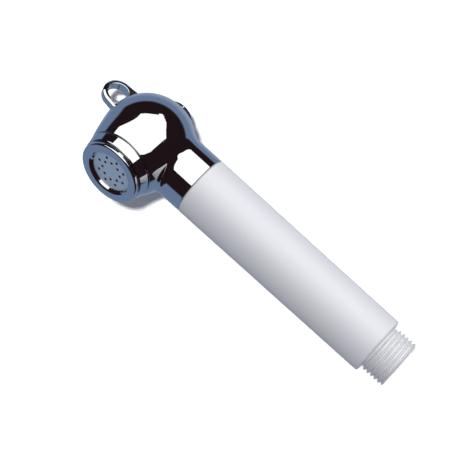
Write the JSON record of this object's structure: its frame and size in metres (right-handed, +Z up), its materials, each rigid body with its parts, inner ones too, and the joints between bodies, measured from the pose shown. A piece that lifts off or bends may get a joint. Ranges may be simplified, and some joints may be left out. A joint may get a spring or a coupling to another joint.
{
  "type": "handheld shower head",
  "caption": "Slim handheld shower head: chrome ball head with a side-facing spray plate, back push-button and hanging eye, on a white handle with a hose thread.",
  "frame": {"origin": "centre of the sealing face at the hose end, on the handle's axis", "axes": "+Z up the handle to the head; the nozzle faces -Y, the push-button faces +Y; +X is to the side"},
  "size_m": [0.0388, 0.0457, 0.1612],
  "materials": {
    "head_chrome": "polished chrome plating on cast brass",
    "eye_chrome": "polished chrome plating on cast brass",
    "collar_chrome": "polished chrome plating on cast brass",
    "bezel_chrome": "polished chrome plating on cast brass",
    "button_chrome": "polished chrome plating on cast brass",
    "bush_chrome": "polished chrome plating on cast brass",
    "plate_satin": "satin stainless steel",
    "grip_white": "semi-gloss white plastic",
    "spigot_white": "white plastic, moulded thread",
    "seal_rubber": "black nitrile rubber",
    "inner_plastic": "natural acetal plastic",
    "poppet_plastic": "white acetal plastic",
    "strainer_plastic": "grey moulded plastic",
    "valve_brass": "turned brass",
    "spring_steel": "stainless spring wire"
  },
  "bodies": {
    "handset": {"head_shell": "head_chrome", "hanging_eye": "eye_chrome", "nozzle_collar": "collar_chrome", "button_bush": "bush_chrome", "handle_grip": "grip_white", "hose_spigot": "spigot_white", "collar_o_ring": "seal_rubber", "valve_body_o_ring": "seal_rubber", "bush_o_ring": "seal_rubber", "tube_o_rings": "seal_rubber", "check_valve_o_ring": "seal_rubber", "plate_gasket": "seal_rubber", "valve_gasket": "seal_rubber", "flow_diffuser": "inner_plastic", "tube_spacers": "inner_plastic", "inner_tube": "inner_plastic", "check_valve_body": "inner_plastic", "inlet_strainer": "strainer_plastic", "valve_body": "valve_brass", "return_spring": "spring_steel", "check_valve_spring": "spring_steel"},
    "button": {"push_button": "button_chrome", "valve_stem": "valve_brass", "stem_o_rings": "seal_rubber"},
    "plate": {"spray_plate": "plate_satin"},
    "bezel": {"spray_bezel": "bezel_chrome"},
    "poppet": {"check_valve_poppet": "poppet_plastic"}
  },
  "joints": [
    {"name": "button_press", "type": "slide", "parent": "handset", "child": "button", "axis": [0, -1, 0], "range_m": [0, 0.003], "stiffness_N_per_m": 1500, "springref_m": -0.002, "deforming": ["return_spring"]},
    {"name": "plate_slide", "type": "slide", "parent": "handset", "child": "plate", "axis": [0, -1, 0], "range_m": [0, 0.003]},
    {"name": "bezel_turn", "type": "hinge", "parent": "plate", "child": "bezel", "pos_m": [0, -0.0235, 0.1323], "axis": [0, -1, 0], "range_deg": [0, 1080]},
    {"name": "poppet_lift", "type": "slide", "parent": "handset", "child": "poppet", "axis": [0, 0, 1], "range_m": [0, 0.002], "stiffness_N_per_m": 150, "springref_m": -0.001, "deforming": ["check_valve_spring"]}
  ],
  "couplings": [
    {"joint": "bezel_turn", "follows": "plate_slide", "rad_per_m": 6283}
  ]
}
